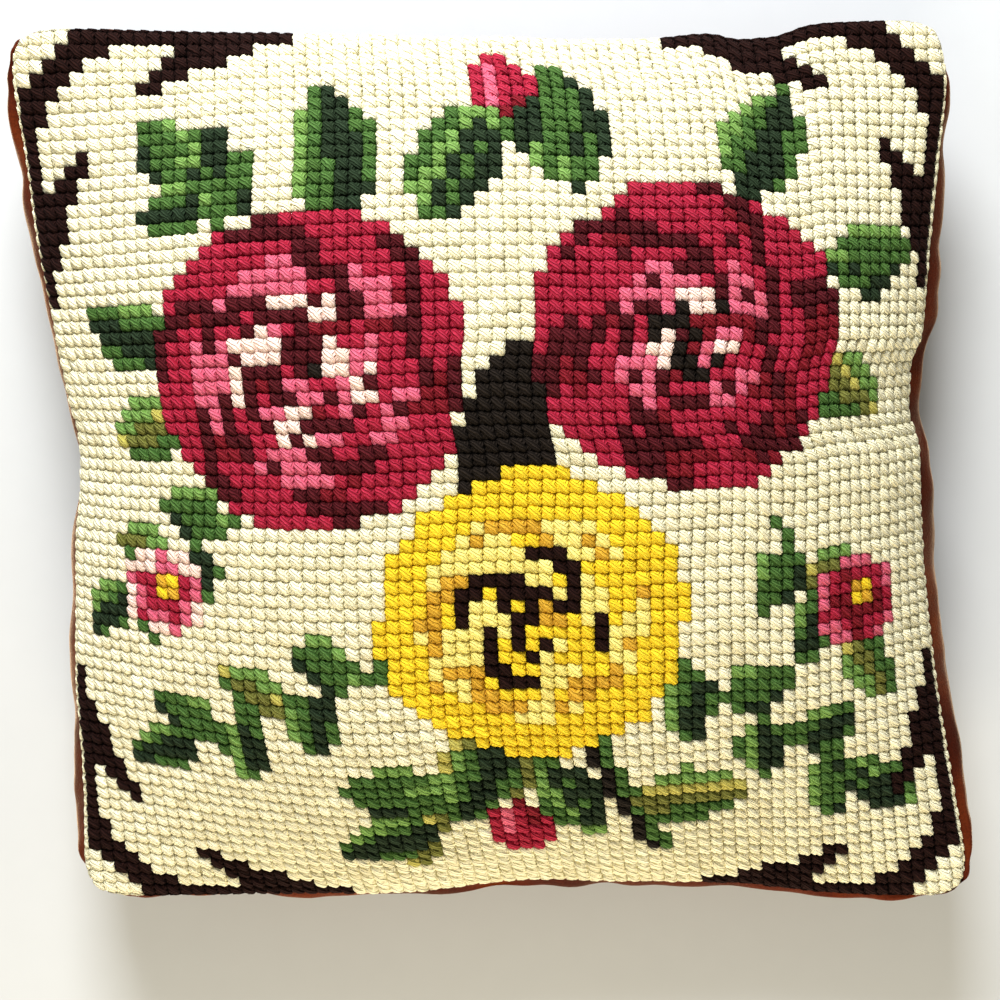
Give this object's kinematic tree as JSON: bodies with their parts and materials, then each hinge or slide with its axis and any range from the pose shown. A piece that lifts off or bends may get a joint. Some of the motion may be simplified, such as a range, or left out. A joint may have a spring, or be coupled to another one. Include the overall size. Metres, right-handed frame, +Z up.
{
  "type": "needlepoint cushion",
  "caption": "Square stuffed cushion with a floral wool cross-stitch canvas front and a plush velvet back, drawn in along its sides.",
  "frame": {"origin": "middle of the flat patch on the back that the cushion rests on", "axes": "+X to the right of the stitched face, +Y to its top edge, +Z up out of the face, through the cushion's thickness"},
  "size_m": [0.4299, 0.392, 0.12],
  "materials": {
    "stitched_wool": "matt wool cross stitch over canvas, mostly cream with flowers, leaves and brown corner scrolls",
    "velvet": "rust-brown velvet with a soft sheen"
  },
  "bodies": {
    "root": {"needlepoint_panel": "stitched_wool", "velvet_back": "velvet"}
  },
  "joints": []
}
